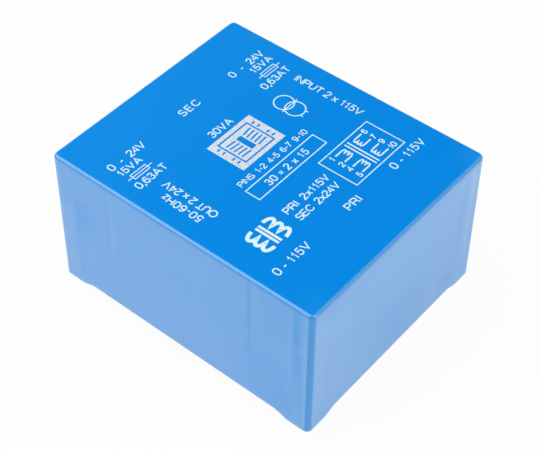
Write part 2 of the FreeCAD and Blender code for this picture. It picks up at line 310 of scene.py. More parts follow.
class Value:
    """One socket of a material's nodes. Arithmetic on it adds Math nodes."""

    def __init__(self, finish, socket):
        self.finish = finish
        self.socket = socket

    def _math(self, operation, *inputs):
        return self.finish.node("ShaderNodeMath", {"operation": operation}, dict(enumerate(inputs)))

    def __add__(self, other):
        return self._math("ADD", self, other)

    def __radd__(self, other):
        return self._math("ADD", other, self)

    def __sub__(self, other):
        return self._math("SUBTRACT", self, other)

    def __rsub__(self, other):
        return self._math("SUBTRACT", other, self)

    def __mul__(self, other):
        return self._math("MULTIPLY", self, other)

    def __rmul__(self, other):
        return self._math("MULTIPLY", other, self)

    def __truediv__(self, other):
        return self._math("DIVIDE", self, other)

    def __pow__(self, other):
        return self._math("POWER", self, other)

    def __abs__(self):
        return self._math("ABSOLUTE", self)

    def within(self, low, high):
        """0 below low, 1 above high, and a smooth step between them."""
        settings = {"interpolation_type": "SMOOTHSTEP"}
        limits = {0: self, 1: low, 2: high, 3: 0.0, 4: 1.0}
        return self.finish.node("ShaderNodeMapRange", settings, limits)

    def sine(self):
        """Sine of the value, in radians."""
        return self._math("SINE", self)


class Finish:
    """A material, built from expressions on Value."""

    def __init__(self, name):
        self.material = bpy.data.materials.new(name)
        self.material.use_nodes = True
        self.tree = self.material.node_tree
        self.tree.nodes.clear()
        self.coordinates = self.tree.nodes.new("ShaderNodeTexCoord")

    def node(self, kind, settings=None, inputs=None, output=0):
        """Adds one node: its settings first, then its sockets' values or links."""
        made = self.tree.nodes.new(kind)
        for key, value in (settings or {}).items():
            setattr(made, key, value)
        for key, value in (inputs or {}).items():
            socket = made.inputs[key]
            if isinstance(value, Value):
                self.tree.links.new(value.socket, socket)
            elif isinstance(value, tuple) and len(value) == 3 and len(socket.default_value) == 4:
                socket.default_value = (*value, 1)
            else:
                socket.default_value = value
        return Value(self, made.outputs[output])

    def place(self, scale=(1, 1, 1)):
        """The point in the object's own frame, in metres, stretched by scale."""
        point = Value(self, self.coordinates.outputs["Object"])
        return self.node("ShaderNodeMapping", {"vector_type": "POINT"}, {"Vector": point, "Scale": scale})

    def parts(self, vector):
        """The three numbers of a vector."""
        split = self.node("ShaderNodeSeparateXYZ", None, {0: vector})
        return [Value(self, out) for out in split.socket.node.outputs]

    def facing(self):
        """The surface's own direction, as three numbers."""
        return self.parts(Value(self, self.coordinates.outputs["Normal"]))

    def noise(self, size, detail=3.0, stretch=(1, 1, 1)):
        """Noise from 0 to 1 with blotches of about that size, in metres."""
        inputs = {"Vector": self.place(stretch), "Scale": 1 / size, "Detail": detail}
        return self.node("ShaderNodeTexNoise", {"noise_dimensions": "3D"}, inputs)

    def mix(self, share, first, second):
        """Colour between two colours."""
        return self.node("ShaderNodeMix", {"data_type": "RGBA"}, {0: share, 6: first, 7: second}, 2)

    def bump(self, height, strength, distance):
        """Direction of a surface with a relief."""
        inputs = {"Height": height, "Strength": strength, "Distance": distance}
        return self.node("ShaderNodeBump", None, inputs)

    def surface(self, **inputs):
        """A Principled shader. An input's name has underscores for blanks."""
        named = {key.replace("_", " "): value for key, value in inputs.items()}
        return self.node("ShaderNodeBsdfPrincipled", None, named)

    def blend(self, share, first, second):
        """Mix of two shaders."""
        return self.node("ShaderNodeMixShader", None, {0: share, 1: first, 2: second})

    def done(self, shader):
        """The material, with this shader on its surface."""
        output = self.tree.nodes.new("ShaderNodeOutputMaterial")
        self.tree.links.new(shader.socket, output.inputs["Surface"])
        return self.material


ROOF_COLOUR = (0.0003, 0.250, 0.800)
ROOF_PALE = (0.0078, 0.276, 0.805)
# The walls' colours are paler than the roof's although the case is one plastic: painted haze of reflected
# light.
WALL_COLOUR = (0.0045, 0.285, 0.750)
WALL_PALE = (0.0080, 0.300, 0.770)
COAT_WEIGHT = 0.80
PEARL_SIZE = 0.09 * MM
CLOUD_SIZE = 16 * MM
SMEAR_SIZE = 5 * MM
MOTTLE_SIZE = 1.3 * MM

# What makes the roof paler: its clouds, a painted reflection towards the secondary end, and smears at the
# near corner.
CLOUD_HAZE = 0.35
FAR_END_PAINTED_REFLECTION = 0.55
NEAR_CORNER_HAZE = 1.2

# Share of black in the wall's colour, all of it painted shade: in the band under the top edge, where it
# stands for a dark reflection, on the upright corners, and low on the primary end's wall, darker towards
# its bottom.
BAND_SHADOW = 0.17
CORNER_SHADOW = 0.05
LOW_SHADOW = 0.035

# What changes the walls' gloss, as shares of it.
SMEAR_GLOSS = 0.16
MOTTLE_GLOSS = 0.14
FRONT_GLOSS = 0.09
BESIDE_CORNER_GLOSS = 0.25
BAND_DULLNESS = 0.14
LOW_DULLNESS = 0.17
CORNER_DULLNESS = 0.55
TOP_EDGE_DULLNESS = 0.35

# Marks on the walls: place along the wall, half width, lowest and highest point in millimetres, and how
# much more (or less) the gloss is there. Those over the ribs are on both long walls.
RIB_MARKS = [
    (18.5, 0.55, 22.0, 35.0, -0.34),
    (18.6, 0.45, 12.0, 24.0, -0.16),
    (16.8, 0.80, 23.0, 35.0, 0.10),
    (20.2, 0.80, 23.0, 35.0, 0.10),
    (-17.9, 0.60, 12.0, 33.5, 0.20),
    (-19.3, 0.60, 12.0, 34.5, -0.12),
]
FRONT_MARKS = [
    (30.1, 0.95, 24.0, 35.0, -0.48),
    (30.7, 1.30, 15.0, 23.0, -0.40),
    (28.7, 0.40, 8.0, 30.0, 0.18),
    (32.7, 0.50, 1.0, 36.0, 0.36),
    (31.6, 0.80, 4.0, 14.0, -0.14),
    (-26.6, 2.40, 16.0, 27.0, -0.16),
    (-27.8, 0.70, 3.0, 34.0, -0.12),
    (-24.0, 2.60, 18.0, 26.0, -0.10),
    (-31.0, 1.90, 1.0, 24.0, 0.20),
    (2.0, 13.0, 25.0, 36.0, 0.05),
    (24.0, 7.00, 1.0, 16.0, -0.14),
    (27.0, 2.60, 1.0, 9.0, -0.12),
]
END_MARKS = [
    (24.9, 1.00, 9.0, 34.0, 0.28),
    (26.4, 2.20, 25.0, 36.0, 0.18),
    (20.8, 1.70, 15.0, 28.0, -0.12),
    (-25.8, 2.20, 6.0, 34.5, 0.20),
    (-20.0, 4.00, 6.0, 30.0, 0.12),
    (2.0, 9.00, 1.0, 15.0, -0.14),
    (19.5, 4.00, 1.0, 9.0, -0.16),
]


def marks_on(along, z, marks):
    """Sum of soft-edged strips up a wall, each times its amount.

    Across, a strip fades out from 0.35 to 1.5 of its half width. It fades in over 4 mm at its low end
    and out over 3 mm at its high end.
    """
    total = 0.0
    for place, half, low, high, amount in marks:
        across = 1 - abs(along - place * MM).within(half * 0.35 * MM, half * 1.5 * MM)
        above = z.within((low - 1.5) * MM, (low + 2.5) * MM)
        below = 1 - z.within((high - 2) * MM, (high + 1) * MM)
        total = across * (above * below) * amount + total
    return total


def case_finish():
    """Satin plastic: the roof is matt, and the polished walls mirror the ground softly."""
    finish = Finish("case_plastic")
    normal_x, normal_y, normal_z = finish.facing()
    x, y, z = finish.parts(finish.place())
    clouds = finish.noise(CLOUD_SIZE, 2.0)
    smears = finish.noise(SMEAR_SIZE, 3.0, (1, 1, 0.35))
    grain = finish.noise(PEARL_SIZE, 2.0)
    mottle = finish.noise(MOTTLE_SIZE, 3.0, (1, 1, 0.6)) - 0.5
    skin = finish.bump(grain + smears * 4.0, 0.25, 0.004 * MM)

    # Places on the roof, from 0 to 1.
    roof = normal_z.within(0.90, 0.985)
    # far_end carries a painted reflection: the roof's colour is made paler towards the secondary end.
    far_end = (x / -CASE_HALF[0]).within(-0.2, 1.0)
    near_corner = (x / CASE_HALF[0]).within(0.78, 0.95) * abs(y / CASE_HALF[1]).within(0.70, 0.92)
    haze_and_painted_reflection = clouds * CLOUD_HAZE + far_end * FAR_END_PAINTED_REFLECTION + near_corner * smears * NEAR_CORNER_HAZE
    roof_colour = finish.mix(haze_and_painted_reflection, ROOF_COLOUR, ROOF_PALE)

    # Places on the walls, from 0 to 1.
    long_walls = abs(normal_y).within(0.8, 0.98)
    front = (normal_y * -1.0).within(0.8, 0.98)
    end = normal_x.within(0.8, 0.98)
    low = (1 - z.within(12 * MM, 31 * MM)) * end
    turned = abs(normal_x * normal_y)
    corner = turned.within(0.10, 0.42)
    beside = turned.within(0.01, 0.06) * (1 - turned.within(0.12, 0.26))
    top_edge = normal_z.within(0.15, 0.7)
    band = normal_z.within(0.04, 0.35) * (1 - normal_z.within(0.58, 0.80))
    band = band * ((normal_y * -1.0).within(0.2, 0.6) * 0.3 + 0.7)
    # Painted shade: black mixed into the walls' colour in the band under the top edge, on the corners and
    # low on the end wall.
    shadow = band * BAND_SHADOW + corner * CORNER_SHADOW + low * LOW_SHADOW
    wall_colour_with_painted_light = finish.mix(smears, WALL_COLOUR, WALL_PALE)
    wall_colour_with_painted_light = finish.mix(shadow, wall_colour_with_painted_light, (0, 0, 0))

    spread = marks_on(x, z, RIB_MARKS) * long_walls + marks_on(x, z, FRONT_MARKS) * front
    spread = spread + marks_on(y, z, END_MARKS) * end - low * LOW_DULLNESS
    spread = spread + (smears - 0.5) * SMEAR_GLOSS + mottle * MOTTLE_GLOSS + front * FRONT_GLOSS
    spread = spread + beside * BESIDE_CORNER_GLOSS - band * BAND_DULLNESS
    gloss = COAT_WEIGHT * (1 + spread) * (1 - corner * CORNER_DULLNESS)
    gloss = gloss * (1 - top_edge * TOP_EDGE_DULLNESS)
    matt = finish.surface(
        Base_Color=roof_colour,
        Roughness=0.42 + clouds * 0.08,
        Specular_IOR_Level=0.02,
        Normal=skin,
    )
    satin = finish.surface(
        Base_Color=wall_colour_with_painted_light,
        Roughness=0.30 + smears * 0.08,
        Specular_IOR_Level=0.5,
        Coat_Weight=gloss,
        Coat_Roughness=0.22,
        Coat_IOR=1.8,
        Normal=skin,
    )
    return finish.done(finish.blend(roof, satin, matt))


case_piece = build_case()
case_piece.data.materials.append(case_finish())
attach(case_piece, "root")
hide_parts("case")


# The printed legend
# White marking on the roof, a film about a hundredth of a millimetre thick. It names the two ends,
# their voltages and ratings, and has the symbols for a fuse, a transformer and the windings.
# Places are in millimetres: across from the middle, and up from the middle towards the secondary end.

INK_THICKNESS = 0.012 * MM
INK_LINE = 0.29
FRAME_LINE = 0.25
FUSE_LINE = 0.22
CAP_HEIGHT = 2.05

# A stroke's profile: places across as shares of half its width, and heights as shares of the film.
DOME_ACROSS = np.array([-1, -0.85, -0.4, 0.4, 0.85, 1])
DOME_RISE = np.array([-0.2, 0.75, 1, 1, 0.75, -0.2])


def roof_height(across, up):
    """Height of the bowed roof at a place on the legend."""
    top_half = CASE_HALF - (CASE_TOP - TOP_EDGE_RADIUS) * DRAFT - TOP_EDGE_RADIUS
    share_x = np.clip(np.abs(up) * MM / top_half[0], 0, 1)
    share_y = np.clip(np.abs(across) * MM / top_half[1], 0, 1)
    return CASE_TOP - ROOF_BOW * (1 - share_x**2) * (1 - share_y**2)


def on_roof(points):
    """Legend places with a height above the roof, in millimetres, as points of the part in metres."""
    points = np.asarray(points, float)
    across, up, lift = points[..., 0], points[..., 1], points[..., 2]
    return np.stack([-up * MM, across * MM, roof_height(across, up) + lift * MM], -1)


def stroke(path, width=INK_LINE, closed=False):
    """A line of ink along a path of places: a low dome carried along it, mitred at its corners.

    Across the line the height falls off towards both sides, below the roof's surface at the very edge.
    """
    path = np.asarray(path, float)
    if closed:
        before, after = np.roll(path, 1, 0), np.roll(path, -1, 0)
    else:
        before = np.vstack([2 * path[0] - path[1], path[:-1]])
        after = np.vstack([path[1:], 2 * path[-1] - path[-2]])
    run_in = (path - before) / np.linalg.norm(path - before, axis=1, keepdims=True)
    run_out = (after - path) / np.linalg.norm(after - path, axis=1, keepdims=True)
    middle = run_in + run_out
    middle /= np.linalg.norm(middle, axis=1, keepdims=True)
    side = np.stack([middle[:, 1], -middle[:, 0]], 1)
    stretch = 1 / np.clip((middle * run_in).sum(1, keepdims=True), 0.5, 1)
    rise = DOME_RISE * INK_THICKNESS / MM
    flat = path[:, None, :] + (side * stretch)[:, None, :] * (DOME_ACROSS * width / 2)[None, :, None]
    grid = np.concatenate([flat, np.broadcast_to(rise[None, :, None], flat.shape[:2] + (1,))], 2)
    rows, columns = grid.shape[:2]
    if closed:
        faces = (grid_faces(rows + 1, columns) % (rows * columns)).tolist()
    else:
        faces = grid_faces(rows, columns).tolist()
        faces += [list(range(columns))[::-1], list(range((rows - 1) * columns, rows * columns))]
    return on_roof(grid).reshape(-1, 3), faces


def ring_path(across, up, radius, start=0, sweep=360, steps=48):
    """Points of a circle or an arc, by angle from the right, counterclockwise."""
    closed = sweep == 360
    angle = np.radians(start + np.linspace(0, sweep, steps, endpoint=not closed))
    return np.stack([across + radius * np.cos(angle), up + radius * np.sin(angle)], 1)


def box_path(left, right, bottom, top):
    """The four corners of an upright box."""
    return [(left, bottom), (right, bottom), (right, top), (left, top)]


def gathered(parts):
    """Points and faces of several meshes as one."""
    points, faces, offset = [], [], 0
    for part_points, part_faces in parts:
        points.append(part_points)
        faces += [[i + offset for i in face] for face in part_faces]
        offset += len(part_points)
    return np.concatenate(points), faces


def bend(across, up, half_width, half_height, start, stop, steps=10):
    """Points of a part of an ellipse, by angles from the right, counterclockwise."""
    angle = np.radians(np.linspace(start, stop, steps))
    return [(across + half_width * np.cos(a), up + half_height * np.sin(a)) for a in angle]


# Upright letters of one line weight. Each has its width, in shares of a capital's height, and its
# lines, whose places across are shares of that width.
ZERO = bend(0.5, 0.68, 0.5, 0.32, 0, 180) + bend(0.5, 0.32, 0.5, 0.32, 180, 360) + [(1.0, 0.68)]
SIX_BACK = bend(0.55, 0.72, 0.42, 0.28, 25, 110, 7) + bend(0.52, 0.50, 0.52, 0.48, 140, 205, 7)
SIX_BOWL = bend(0.51, 0.31, 0.49, 0.31, 0, 360, 22)
P_BOWL = [(0.0, 0.0), (0.0, 1.0), (0.55, 1.0)] + bend(0.58, 0.74, 0.42, 0.26, 85, -85) + [(0.0, 0.48)]
R_LEG = [(0.56, 0.48), (0.86, 0.38), (0.93, 0.12), (1.02, 0.0)]
TWO = bend(0.49, 0.73, 0.48, 0.27, 170, -35, 12) + [(0.44, 0.34), (0.11, 0.14), (0.0, 0.0), (1.0, 0.0)]
THREE_TOP = bend(0.49, 0.755, 0.44, 0.245, 165, -80, 12) + [(0.32, 0.52)]
THREE_BOWL = [(0.32, 0.52)] + bend(0.49, 0.26, 0.51, 0.26, 80, -165, 12)
FIVE = [(0.93, 1.0), (0.21, 1.0), (0.10, 0.50)] + bend(0.48, 0.32, 0.52, 0.32, 130, -160, 14)
S_CURVE = bend(0.50, 0.745, 0.44, 0.255, 20, 235, 13) + [(0.54, 0.49)]
S_CURVE += bend(0.50, 0.255, 0.50, 0.255, 60, -160, 14)
U_CURVE = [(0.0, 1.0), (0.0, 0.34)] + bend(0.5, 0.33, 0.5, 0.33, 180, 360, 14) + [(1.0, 0.34), (1.0, 1.0)]
LETTERS = {
    "0": (0.64, [ZERO]),
    "1": (0.44, [[(0.12, 0.72), (0.50, 0.80), (0.68, 1.0), (0.68, 0.0)]]),
    "2": (0.63, [TWO]),
    "3": (0.63, [THREE_TOP, THREE_BOWL]),
    "4": (0.66, [[(0.76, 0.0), (0.76, 1.0), (0.0, 0.29), (1.0, 0.29)]]),
    "5": (0.63, [FIVE]),
    "6": (0.63, [SIX_BACK, SIX_BOWL]),
    "7": (0.62, [[(0.0, 1.0), (1.0, 1.0), (0.63, 0.64), (0.40, 0.30), (0.32, 0.0)]]),
    "9": (0.63, [[(1.01 - x, 1 - y) for x, y in path] for path in (SIX_BACK, SIX_BOWL)]),
    "A": (0.88, [[(0.0, 0.0), (0.5, 1.0), (1.0, 0.0)], [(0.175, 0.33), (0.825, 0.33)]]),
    "C": (0.88, [bend(0.53, 0.5, 0.53, 0.5, 36, 324, 22)]),
    "E": (0.72, [[(0.97, 1.0), (0.0, 1.0), (0.0, 0.0), (1.0, 0.0)], [(0.0, 0.52), (0.92, 0.52)]]),
    "H": (0.75, [[(0.0, 0.0), (0.0, 1.0)], [(1.0, 0.0), (1.0, 1.0)], [(0.0, 0.52), (1.0, 0.52)]]),
    "I": (0.10, [[(0.5, 0.0), (0.5, 1.0)]]),
    "N": (0.75, [[(0.0, 0.0), (0.0, 1.0), (1.0, 0.0), (1.0, 1.0)]]),
    "O": (0.96, [bend(0.5, 0.5, 0.5, 0.5, 0, 360, 30)]),
    "P": (0.73, [P_BOWL]),
    "R": (0.80, [[(x * 0.94, y) for x, y in P_BOWL], R_LEG]),
    "S": (0.76, [S_CURVE]),
    "T": (0.78, [[(0.0, 1.0), (1.0, 1.0)], [(0.5, 1.0), (0.5, 0.0)]]),
    "U": (0.74, [U_CURVE]),
    "V": (0.88, [[(0.0, 1.0), (0.5, 0.0), (1.0, 1.0)]]),
    "x": (0.58, [[(0.0, 0.0), (1.0, 0.70)], [(0.0, 0.70), (1.0, 0.0)]]),
    "z": (0.52, [[(0.0, 0.70), (0.95, 0.70), (0.0, 0.0), (1.0, 0.0)]]),
    "-": (0.38, [[(0.0, 0.36), (1.0, 0.36)]]),
    "=": (0.50, [[(0.0, 0.28), (1.0, 0.28)], [(0.0, 0.58), (1.0, 0.58)]]),
    ",": (0.12, [[(0.9, 0.08), (0.7, -0.08), (-0.3, -0.27)]]),
    " ": (0.15, []),
}


def lettering(words, left, base, width, height=CAP_HEIGHT, turn=0, line=INK_LINE):
    """Words in strokes, spread over a width. turn is in quarter turns, counterclockwise.

    left and base are where the words' lower left corner is, before and after the turn. The middle
    of each stroke keeps half a line's width inside the letter's height and the words' width.
    """
    body = height - line
    natural = [LETTERS[letter][0] * body for letter in words]
    gap = (width - line - sum(natural)) / max(len(words) - 1, 1)
    cosine, sine = [(1, 0), (0, 1), (-1, 0), (0, -1)][turn % 4]
    strokes = []
    start = line / 2
    for letter, advance in zip(words, natural):
        for path in LETTERS[letter][1]:
            x = start + np.array(path)[:, 0] * advance
            y = line / 2 + np.array(path)[:, 1] * body
            turned = np.stack([left + x * cosine - y * sine, base + x * sine + y * cosine], 1)
            strokes.append(stroke(turned, line))
        start += advance + gap
    return gathered(strokes)


def plate(outlines):
    """Solid area of ink with its openings left out: closed outlines, the outer one and the holes."""
    curve = bpy.data.curves.new("plate", "CURVE")
    curve.dimensions = "2D"
    curve.fill_mode = "BOTH"
    curve.extrude = 0.01
    for path in outlines:
        spline = curve.splines.new("POLY")
        spline.points.add(len(path) - 1)
        places = np.column_stack([path, np.zeros(len(path)), np.ones(len(path))])
        spline.points.foreach_set("co", places.ravel())
        spline.use_cyclic_u = True
    holder = bpy.data.objects.new("shape", curve)
    bpy.context.scene.collection.objects.link(holder)
    bpy.context.view_layer.update()
    mesh = bpy.data.meshes.new_from_object(holder)
    points = np.zeros(len(mesh.vertices) * 3)
    mesh.vertices.foreach_get("co", points)
    points = points.reshape(-1, 3)
    faces = [list(polygon.vertices) for polygon in mesh.polygons]
    bpy.data.objects.remove(holder)
    bpy.data.curves.remove(curve)
    bpy.data.meshes.remove(mesh)
    lift = np.where(points[:, 2] > 0, 1.0, -0.3) * INK_THICKNESS / MM
    return on_roof(np.column_stack([points[:, :2], lift])), faces


def fuse_symbol(left, right, up):
    """A fuse: a long box with a line through it."""
    inset = 1.25
    half = 0.72
    return [
        stroke(box_path(left + inset, right - inset, up - half, up + half), FUSE_LINE, closed=True),
        stroke([(left, up), (right, up)], FUSE_LINE),
    ]


def transformer_symbol(across, up):
    """Two linked rings that share a lens, a line through the lens, and two short feet."""
    radius = 2.22
    reach = 1.5
    marks = [stroke(ring_path(across, up + side * reach, radius), closed=True) for side in (1, -1)]
    marks.append(stroke([(across - 2.5, up), (across + 2.5, up)], FRAME_LINE))
    for foot in (across - 0.9, across + 0.9):
        marks.append(stroke([(foot, up - reach - 1.9), (foot, up - reach - 2.75)], FRAME_LINE))
    return marks


def coil_path(across, up, bump, count, bulge):
    """A coil along the legend's height: half ellipses in a row. bulge is how far each stands out."""
    arcs = []
    for k in range(count):
        middle = up + (count - 1) * bump - 2 * bump * k
        arc = ring_path(0, 0, bump, 90, -180, 13)
        arc[:, 0] *= bulge / bump
        arcs.append(arc[:-1] + [across, middle] if k < count - 1 else arc + [across, middle])
    return np.concatenate(arcs)


# Both ends have two windings. The rows of words, from the secondary end down to the primary end.
secondary_marks = [
    lettering("0   -   24V", -24.05, 20.6, 10.15),
    lettering("0   -   24V", 13.15, 20.6, 10.6),
    lettering("15VA", -23.9, 18.1, 6.3, 1.95),
    lettering("15VA", 17.2, 18.1, 6.4, 1.95),
    lettering("0,63AT", -24.15, 12.95, 8.55, 2.0),
    lettering("0,63AT", 14.7, 12.95, 8.8, 2.0),
    lettering("SEC", -2.85, 20.6, 5.8),
    lettering("30VA", -3.75, 11.6, 6.7, 2.0),
]
secondary_marks += fuse_symbol(-23.85, -17.1, 16.45)
secondary_marks += fuse_symbol(16.6, 23.45, 16.45)

primary_marks = [
    lettering("0 - 115V", -24.2, -22.42, 10.15),
    lettering("0 - 115V", 12.85, -22.42, 10.65),
    lettering("PRI", -2.1, -22.42, 4.2),
]

side_marks = [
    lettering("50-60Hz", -21.6, -1.85, 10.25, 1.95, turn=1),
    lettering("OUT 2 x 24V", -18.85, -3.3, 13.95, 1.95, turn=1),
    lettering("INPUT 2 x 115V", 20.95, 10.7, 17.8, 2.05, turn=-1),
]

# In the middle: a white plate with a drawing of the wound core between its pins, the pins' numbers,
# and a framed rating.
PLATE_LEFT, PLATE_RIGHT, PLATE_LOW, PLATE_HIGH = -6.9, 6.38, 0.85, 10.7
plate_middle = np.array([(PLATE_LEFT + PLATE_RIGHT) / 2, (PLATE_LOW + PLATE_HIGH) / 2])


def core_drawing():
    """The plate's outlines: its edge, and the gaps in it that draw a core, its window, turns and pins."""
    wide, tall = 4.7, 3.9
    line = 0.42
    gaps = [
        box_path(-wide, wide, -tall, tall),
        box_path(line - wide, wide - line, line - tall, tall - line),
        box_path(-0.75, 0.75, -2.2, 2.2),
    ]
    near, far = 1.15, 3.85
    slope, half = 0.22, 0.21
    turn_pitch = 1.05
    pin_middle, pin_half, pin_half_height = 5.45, 0.45, 0.24
    for side in (-1, 1):
        for k in range(5):
            up = -2.3 + turn_pitch * k
            lower = [(side * near, up - half), (side * far, up - half + slope)]
            upper = [(side * far, up + half + slope), (side * near, up + half)]
            gaps.append(lower + upper)
        middle = side * pin_middle
        for up in (-2.7, -1.3, 1.3, 2.7):
            low, high = up - pin_half_height, up + pin_half_height
            gaps.append(box_path(middle - pin_half, middle + pin_half, low, high))
    edge = box_path(PLATE_LEFT, PLATE_RIGHT, PLATE_LOW, PLATE_HIGH)
    return [edge] + [[tuple(plate_middle + np.array(place)) for place in path] for path in gaps]


middle_marks = [
    lettering("PINS  1-2  4-5  6-7  9-10", -10.8, -2.1, 21.1, 1.6, line=0.24),
    stroke(box_path(-11.1, 10.2, -6.85, -3.2), FRAME_LINE, closed=True),
    lettering("30 = 2 x 15", -6.85, -6.05, 12.8, 1.9),
    lettering("PRI  2x115V", -10.65, -13.80, 13.4, 1.9),
    lettering("SEC  2x24V", -10.4, -16.70, 12.8, 1.9),
]
middle_marks += transformer_symbol(14.1, 6.0)

# The two larger signs near the primary end: a coil in thick strokes, and a framed diagram of the
# windings, with a lead to each pin's number.
COIL_LINE = 0.85
CORE_LINE = 0.6
DIAGRAM_LINE = 0.36
LEAD_LENGTH = 1.9
NUMBER_GAP = 0.45
NUMBER_HEIGHT = 1.56
winding_marks = [
    stroke(coil_path(-18.8, -14.1, 0.97, 3, -2.1), COIL_LINE),
    stroke(coil_path(-15.5, -14.1, 0.97, 3, 2.1), COIL_LINE),
    stroke([(-17.6, -11.2), (-17.6, -17.0)], CORE_LINE),
    stroke([(-16.7, -11.2), (-16.7, -17.0)], CORE_LINE),
    stroke(box_path(4.4, 20.5, -19.05, -9.3), FRAME_LINE, closed=True),
    stroke([(12.0, -10.1), (12.0, -18.25)], DIAGRAM_LINE),
    stroke([(12.9, -10.1), (12.9, -18.25)], DIAGRAM_LINE),
]
for up, numbers in ((-11.95, ("1", "2", "6", "7")), (-16.4, ("4", "5", "9", "10"))):
    for side, column in ((-1, 10.0), (1, 14.9)):
        winding_marks.append(stroke(coil_path(column, up, 0.4, 3, -side * 0.95), DIAGRAM_LINE))
        for step in (-1, 1):
            end = up + 1.2 * step
            reach = column + side * LEAD_LENGTH
            winding_marks.append(stroke([(column - side * 0.1, end), (reach, end)], DIAGRAM_LINE))
            words = numbers[(1 - step) // 2 + (side + 1)]
            wide = 1.05 if len(words) == 1 else 1.95
            left = reach + NUMBER_GAP if side > 0 else reach - NUMBER_GAP - wide
            base = end - NUMBER_HEIGHT / 2
            winding_marks.append(lettering(words, left, base, wide, NUMBER_HEIGHT, line=0.27))

# The ink where it is thick and thin, and the two tones of the plate.
INK_COLOUR = (0.80, 0.97, 1.0)
INK_THIN = (0.60, 0.88, 0.97)
PLATE_WHITE = (0.82, 0.96, 1.0)
PLATE_GREY = (0.54, 0.54, 0.68)
SPECKLE_SIZE = 0.22 * MM


def ink_finish(name, thick, thin, low, high):
    """White ink, with a fine speckle where the film is thin."""
    finish = Finish(name)
    speckle = finish.noise(SPECKLE_SIZE, 2.0).within(low, high)
    colour = finish.mix(speckle, thin, thick)
    film = finish.surface(Base_Color=colour, Roughness=0.5 + speckle * 0.1, Specular_IOR_Level=0.2)
    return finish.done(film)


ink = ink_finish("white_ink", INK_COLOUR, INK_THIN, 0.36, 0.56)
area_ink = ink_finish("white_ink_area", PLATE_WHITE, PLATE_GREY, 0.38, 0.62)
legend = {
    "print_secondary": (secondary_marks, ink),
    "print_primary": (primary_marks, ink),
    "print_sides": (side_marks, ink),
    "print_middle": (middle_marks, ink),
    "print_plate": ([plate(core_drawing())], area_ink),
    "print_windings": (winding_marks, ink),
}
for name, (parts, film) in legend.items():
    piece = mesh_object(name, *gathered(parts), smooth=False)
    piece.data.materials.append(film)
    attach(piece, "root")


# The cast resin
# Two-part filling compound, poured in with the open side up. It sets dull and slightly uneven,
# with a few pinholes where bubbles rose, and it creeps up the walls and the pins.

RESIN_COLOUR = (0.20, 0.19, 0.165)
RESIN_LIGHT = (0.27, 0.26, 0.225)
BUBBLE_SPACING = 2.6 * MM


def resin_finish():
    """Grey compound with clouds, a fine grain and pinholes."""
    finish = Finish("cast_resin")
    clouds = finish.noise(7 * MM, 4.0)
    grain = finish.noise(0.25 * MM, 3.0)
    inputs = {"Vector": finish.place(), "Scale": 1 / BUBBLE_SPACING}
    bubbles = finish.node("ShaderNodeTexVoronoi", {"feature": "F1"}, inputs)
    pinhole = 1 - bubbles.within(0.05, 0.12)
    colour = finish.mix(clouds * 0.8 + grain * 0.2, RESIN_COLOUR, RESIN_LIGHT)
    # Painted shade: the pinholes' colour is mixed towards near-black, standing for the shade inside each
    # hole.
    colour = finish.mix(pinhole * 0.6, colour, (0.05, 0.047, 0.04))
    relief = finish.bump(clouds * 6.0 + grain * 0.6 - pinhole * 4.0, 0.5, 0.03 * MM)
    return finish.done(finish.surface(Base_Color=colour, Roughness=0.55 + grain * 0.15, Normal=relief))


def dress(nodes, material):
    """Gives CAD nodes their finish."""
    for node in nodes:
        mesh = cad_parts[node].data
        mesh.materials.clear()
        mesh.materials.append(material)


dress(["potting_resin"], resin_finish())


# Pins and solder
# Eight round pins, turned and tinned, pressed into the bobbins' ledges. Each is soldered to one
# end of a winding, inside the resin.

def pin_finish():
    """Dull tin over copper alloy, with fine marks along the pin."""
    finish = Finish("tinned_pin")
    streaks = finish.noise(0.25 * MM, 3.0, (1, 1, 0.12))
    cloud = finish.noise(1.2 * MM, 2.0)
    colour = finish.mix(cloud, (0.62, 0.61, 0.58), (0.78, 0.77, 0.74))
    return finish.done(
        finish.surface(
            Base_Color=colour,
            Metallic=1.0,
            Roughness=0.22 + streaks * 0.2,
            Normal=finish.bump(streaks, 0.2, 0.01 * MM),
        )
    )


def solder_finish():
    """Solder that set with a slightly dull skin."""
    finish = Finish("solder")
    cloud = finish.noise(0.5 * MM, 3.0)
    colour = finish.mix(cloud, (0.48, 0.48, 0.48), (0.66, 0.66, 0.65))
    return finish.done(finish.surface(Base_Color=colour, Metallic=1.0, Roughness=0.25 + cloud * 0.2))


dress([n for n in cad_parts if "_pin_" in n], pin_finish())
dress(["solder_joints"], solder_finish())


# The core
# Punched sheets of silicon steel, half a millimetre thick, with a dull blue-grey oxide on their
# faces and bright sheared edges.

SHEET_THICKNESS = 0.5 * MM


def steel_finish():
    """Oxidised sheets: bright on their edges, with a dark seam between each two."""
    finish = Finish("silicon_steel")
    z = finish.parts(finish.place())[2]
    sheet = (z * (2 * np.pi / SHEET_THICKNESS)).sine()
    edge = 1 - abs(finish.facing()[2]).within(0.2, 0.8)
    cloud = finish.noise(3 * MM, 3.0)
    seam = sheet.within(0.6, 0.95) * edge
    colour = finish.mix(cloud, (0.16, 0.18, 0.22), (0.24, 0.26, 0.30))
    colour = finish.mix(edge * 0.6, colour, (0.45, 0.45, 0.46))
    colour = finish.mix(seam * 0.7, colour, (0.05, 0.05, 0.05))
    relief = finish.bump(seam * -1.0, 0.4, 0.05 * MM)
    roughness = 0.38 + cloud * 0.2
    steel = finish.surface(Base_Color=colour, Metallic=0.9, Roughness=roughness, Normal=relief)
    return finish.done(steel)


dress(["u_laminations", "i_laminations"], steel_finish())


# The bobbins
# Black glass-filled nylon, moulded in one piece with three flanges and a pin ledge at each end.

